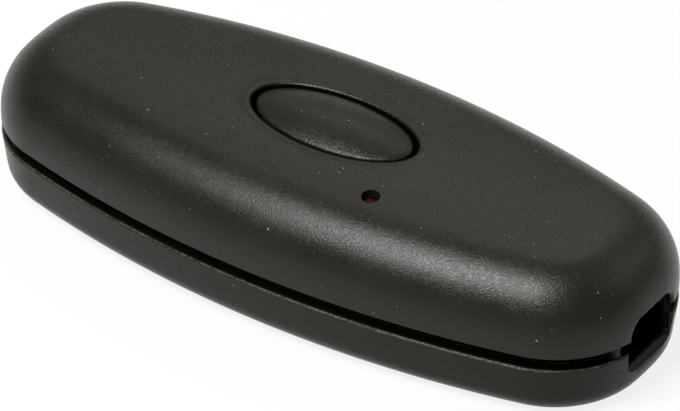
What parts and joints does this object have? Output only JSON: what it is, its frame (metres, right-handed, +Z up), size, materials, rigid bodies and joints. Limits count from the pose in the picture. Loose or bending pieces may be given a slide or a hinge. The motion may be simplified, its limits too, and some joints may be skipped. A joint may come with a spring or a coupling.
{
  "type": "inline cord dimmer",
  "caption": "Black inline cord dimmer: crowned oval housing in halves with a shadow gap, a domed oval push button, an indicator light and a cord port in each end.",
  "frame": {"origin": "middle of the underside, where the dimmer rests on a table or floor", "axes": "+X along the cord towards the lamp end, +Y across the housing, +Z up out of the button's side"},
  "size_m": [0.1038, 0.0428, 0.0238],
  "materials": {
    "housing_plastic": "satin",
    "button_plastic": "satin",
    "clamp_plastic": "matte",
    "steel_screws": "zinc plated",
    "board_laminate": "satin",
    "switch_base": "matte",
    "switch_cover": "satin",
    "switch_stem": "satin",
    "tinned_metal": "tinned",
    "red_lens": "clear tinted",
    "sink_metal": "satin",
    "component_black": "matte",
    "core_powder": "painted",
    "copper_wire": "enamelled",
    "film_case": "satin",
    "tank_sleeve": "satin",
    "fuse_case": "satin",
    "resistor_coat": "matte",
    "diode_case": "matte",
    "diode_glass": "gloss",
    "terminal_plastic": "satin",
    "brass_cages": "satin"
  },
  "bodies": {
    "housing": {"upper_shell": "housing_plastic", "lower_shell": "housing_plastic", "housing_screws": "steel_screws", "circuit_board": "board_laminate", "board_screws": "steel_screws", "switch_housing": "switch_base", "switch_cover_plate": "switch_cover", "switch_contacts": "tinned_metal", "indicator_led": "red_lens", "led_leads": "tinned_metal", "heat_sink": "sink_metal", "triac_tab": "tinned_metal", "triac_body": "component_black", "triac_leads": "tinned_metal", "triac_screw": "steel_screws", "triac_nut": "steel_screws", "choke_core": "core_powder", "choke_winding": "copper_wire", "suppression_capacitor": "film_case", "capacitor_leads": "tinned_metal", "reservoir_capacitor": "tank_sleeve", "reservoir_leads": "tinned_metal", "fuse": "fuse_case", "fuse_leads": "tinned_metal", "control_chip": "component_black", "chip_pins": "tinned_metal", "dropper_resistor": "resistor_coat", "dropper_leads": "tinned_metal", "feedback_resistor": "resistor_coat", "feedback_leads": "tinned_metal", "rectifier_diode": "diode_case", "rectifier_leads": "tinned_metal", "zener_diode": "diode_glass", "zener_leads": "tinned_metal", "mains_cord_clamp": "clamp_plastic", "mains_clamp_screws": "steel_screws", "mains_terminal_housing": "terminal_plastic", "mains_terminal_clamps": "brass_cages", "mains_terminal_screws": "steel_screws", "mains_terminal_pins": "tinned_metal", "lamp_cord_clamp": "clamp_plastic", "lamp_clamp_screws": "steel_screws", "lamp_terminal_housing": "terminal_plastic", "lamp_terminal_clamps": "brass_cages", "lamp_terminal_screws": "steel_screws", "lamp_terminal_pins": "tinned_metal"},
    "button": {"push_button": "button_plastic"},
    "plunger": {"switch_plunger": "switch_stem"}
  },
  "joints": [
    {"name": "button_press", "type": "slide", "parent": "housing", "child": "button", "axis": [0, 0, -1], "range_m": [0, 0.0008], "stiffness_N_per_m": 900, "springref_m": -0.002},
    {"name": "plunger_press", "type": "slide", "parent": "housing", "child": "plunger", "axis": [0, 0, -1], "range_m": [0, 0.0008], "stiffness_N_per_m": 400, "springref_m": -0.002}
  ],
  "couplings": [
    {"joint": "plunger_press", "follows": "button_press", "ratio": 1}
  ]
}
